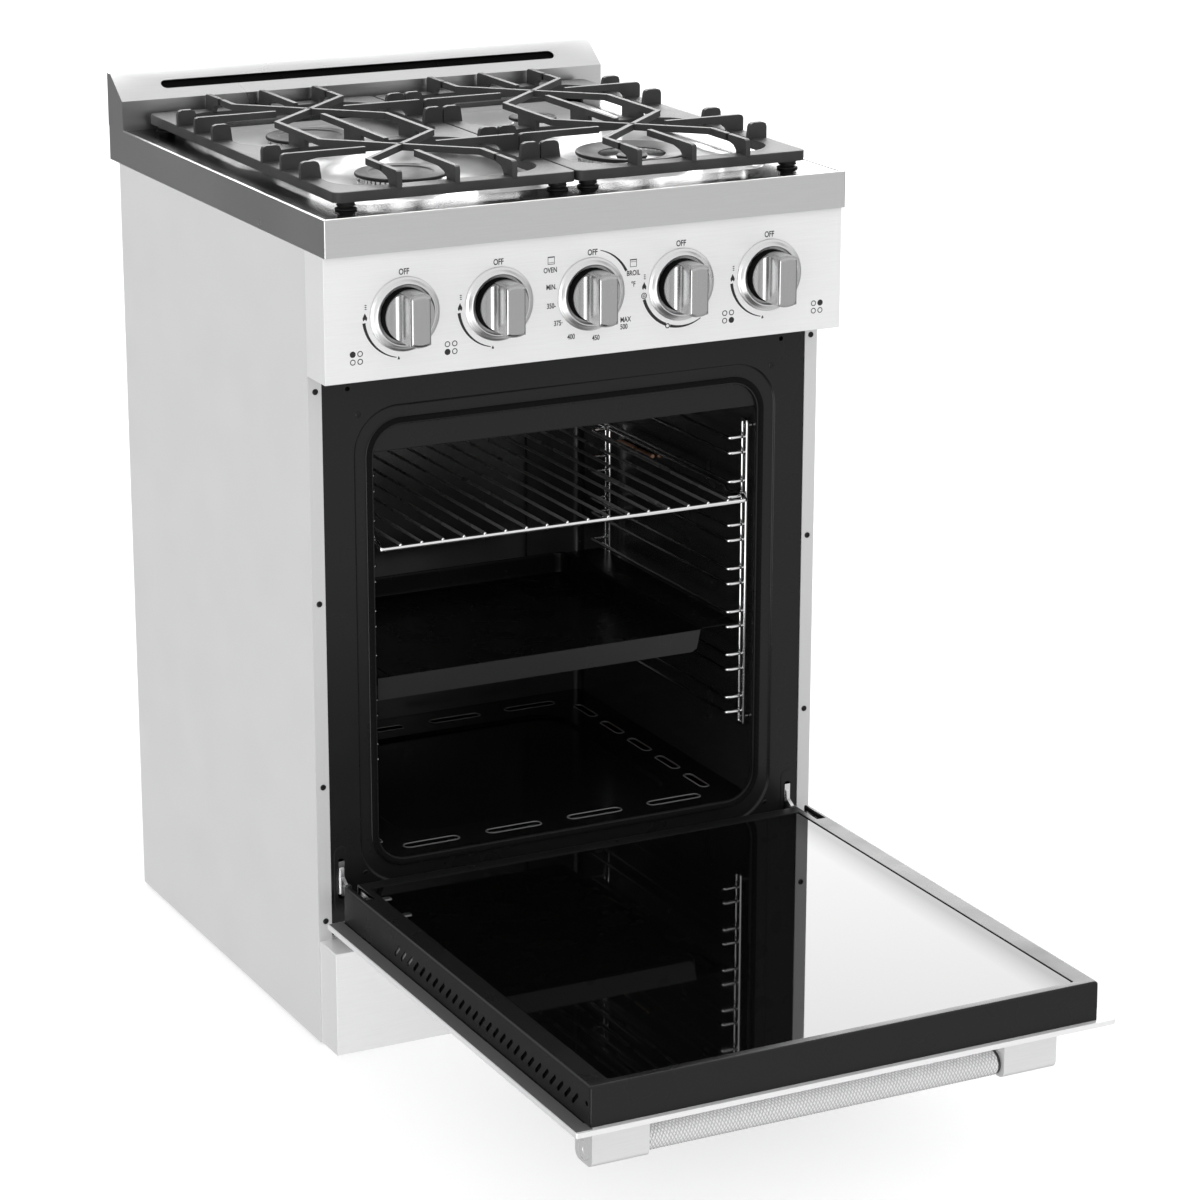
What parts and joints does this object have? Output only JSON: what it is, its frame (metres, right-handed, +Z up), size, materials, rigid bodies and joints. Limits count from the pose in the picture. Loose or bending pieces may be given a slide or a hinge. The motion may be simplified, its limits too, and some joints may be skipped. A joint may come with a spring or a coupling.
{
  "type": "freestanding gas range",
  "caption": "Freestanding narrow gas range with cast iron grates, a low vented backguard, a row of knobs and an oven whose drop-down door is open.",
  "frame": {"origin": "on the floor, under the middle of the plan of the range with its door open", "axes": "+X to the right seen from the front, +Y towards the wall, +Z up; the open door points along -Y"},
  "size_m": [0.605, 1.185, 0.973],
  "materials": {
    "side_white": "satin",
    "zinc_sheet": "satin",
    "black_plastic": "matte",
    "front_steel": "brushed",
    "knob_steel": "satin",
    "screw_steel": "satin",
    "black_enamel": "gloss",
    "cavity_enamel": "satin",
    "gasket_rope": "woven",
    "mineral_wool": "matte",
    "burner_steel": "satin",
    "chrome_wire": "polished",
    "copper_bulb": "satin",
    "hinge_steel": "satin",
    "valve_brass": "satin",
    "white_plastic": "matte",
    "trim_steel": "brushed",
    "pan_steel": "polished",
    "burner_aluminium": "satin",
    "igniter_ceramic": "gloss",
    "cap_enamel": "satin",
    "cast_iron": "satin",
    "black_rubber": "matte",
    "tray_enamel": "gloss",
    "window_glass": "gloss",
    "inner_glass": "gloss",
    "handle_steel": "knurled",
    "handle_end_steel": "satin"
  },
  "bodies": {
    "chassis": {"side_panel_left": "side_white", "side_panel_right": "side_white", "back_panel": "zinc_sheet", "base_pan": "zinc_sheet", "levelling_feet": "black_plastic", "kick_panel": "front_steel", "control_panel": "front_steel", "knob_bezels": "knob_steel", "front_screws": "screw_steel", "oven_front_frame": "black_enamel", "oven_gasket": "gasket_rope", "oven_liner": "cavity_enamel", "oven_insulation": "mineral_wool", "oven_header": "black_enamel", "oven_floor": "cavity_enamel", "oven_burners": "burner_steel", "rack_ladders": "chrome_wire", "thermostat_bulb": "copper_bulb", "flue_duct": "zinc_sheet", "hinge_receivers": "black_enamel", "hinge_arms": "hinge_steel", "gas_manifold": "hinge_steel", "gas_valves": "valve_brass", "burner_tubes": "burner_steel", "ignition_module": "white_plastic", "cord_gland": "black_plastic", "cooktop_trim": "trim_steel", "cooktop_pan": "pan_steel", "backguard": "trim_steel", "burner_heads": "burner_aluminium", "igniters": "igniter_ceramic"},
    "door": {"door_skin": "front_steel", "door_window": "window_glass", "door_inner_frame": "black_enamel", "door_inner_glass": "inner_glass", "door_hinge_channels": "hinge_steel", "door_hinge_pins": "hinge_steel", "door_springs": "hinge_steel", "handle_bar": "handle_steel", "handle_ends": "handle_end_steel"},
    "rack": {"oven_rack": "chrome_wire"},
    "tray": {"roasting_tray": "tray_enamel"},
    "grate_left": {"grate_left": "cast_iron", "grate_feet_left": "black_rubber"},
    "grate_right": {"grate_right": "cast_iron", "grate_feet_right": "black_rubber"},
    "cap_front_left": {"burner_cap_front_left": "cap_enamel"},
    "cap_front_right": {"burner_cap_front_right": "cap_enamel"},
    "cap_rear_left": {"burner_cap_rear_left": "cap_enamel"},
    "cap_rear_right": {"burner_cap_rear_right": "cap_enamel"},
    "spindle_1": {"spindle_1": "hinge_steel"},
    "knob_1": {"knob_1": "knob_steel"},
    "spindle_2": {"spindle_2": "hinge_steel"},
    "knob_2": {"knob_2": "knob_steel"},
    "spindle_3": {"spindle_3": "hinge_steel"},
    "knob_3": {"knob_3": "knob_steel"},
    "spindle_4": {"spindle_4": "hinge_steel"},
    "knob_4": {"knob_4": "knob_steel"},
    "spindle_5": {"spindle_5": "hinge_steel"},
    "knob_5": {"knob_5": "knob_steel"}
  },
  "joints": [
    {"name": "door_hinge", "type": "hinge", "parent": "chassis", "child": "door", "pos_m": [0, -0.0115, 0.157], "axis": [1, 0, 0], "range_deg": [-90, 0]},
    {"name": "rack_slide", "type": "slide", "parent": "chassis", "child": "rack", "axis": [0, -1, 0], "range_m": [0, 0.3]},
    {"name": "tray_slide", "type": "slide", "parent": "chassis", "child": "tray", "axis": [0, -1, 0], "range_m": [0, 0.3]},
    {"name": "grate_left_lift", "type": "slide", "parent": "chassis", "child": "grate_left", "axis": [0, 0, 1], "range_m": [0, 0.06]},
    {"name": "grate_right_lift", "type": "slide", "parent": "chassis", "child": "grate_right", "axis": [0, 0, 1], "range_m": [0, 0.06]},
    {"name": "cap_front_left_lift", "type": "slide", "parent": "chassis", "child": "cap_front_left", "axis": [0, 0, 1], "range_m": [0, 0.015]},
    {"name": "cap_front_right_lift", "type": "slide", "parent": "chassis", "child": "cap_front_right", "axis": [0, 0, 1], "range_m": [0, 0.015]},
    {"name": "cap_rear_left_lift", "type": "slide", "parent": "chassis", "child": "cap_rear_left", "axis": [0, 0, 1], "range_m": [0, 0.015]},
    {"name": "cap_rear_right_lift", "type": "slide", "parent": "chassis", "child": "cap_rear_right", "axis": [0, 0, 1], "range_m": [0, 0.015]},
    {"name": "spindle_1_turn", "type": "hinge", "parent": "chassis", "child": "spindle_1", "pos_m": [-0.213, -0.0305, 0.8085], "axis": [0, -1, 0], "range_deg": [0, 180]},
    {"name": "knob_1_push", "type": "slide", "parent": "spindle_1", "child": "knob_1", "axis": [0, 1, 0], "range_m": [0, 0.0025], "stiffness_N_per_m": 800},
    {"name": "spindle_2_turn", "type": "hinge", "parent": "chassis", "child": "spindle_2", "pos_m": [-0.1065, -0.0305, 0.8085], "axis": [0, -1, 0], "range_deg": [0, 180]},
    {"name": "knob_2_push", "type": "slide", "parent": "spindle_2", "child": "knob_2", "axis": [0, 1, 0], "range_m": [0, 0.0025], "stiffness_N_per_m": 800},
    {"name": "spindle_3_turn", "type": "hinge", "parent": "chassis", "child": "spindle_3", "pos_m": [0, -0.0305, 0.8085], "axis": [0, -1, 0], "range_deg": [-68, 228]},
    {"name": "knob_3_push", "type": "slide", "parent": "spindle_3", "child": "knob_3", "axis": [0, 1, 0], "range_m": [0, 0.0025], "stiffness_N_per_m": 800},
    {"name": "spindle_4_turn", "type": "hinge", "parent": "chassis", "child": "spindle_4", "pos_m": [0.1065, -0.0305, 0.8085], "axis": [0, -1, 0], "range_deg": [0, 210]},
    {"name": "knob_4_push", "type": "slide", "parent": "spindle_4", "child": "knob_4", "axis": [0, 1, 0], "range_m": [0, 0.0025], "stiffness_N_per_m": 800},
    {"name": "spindle_5_turn", "type": "hinge", "parent": "chassis", "child": "spindle_5", "pos_m": [0.213, -0.0305, 0.8085], "axis": [0, -1, 0], "range_deg": [0, 180]},
    {"name": "knob_5_push", "type": "slide", "parent": "spindle_5", "child": "knob_5", "axis": [0, 1, 0], "range_m": [0, 0.0025], "stiffness_N_per_m": 800}
  ]
}
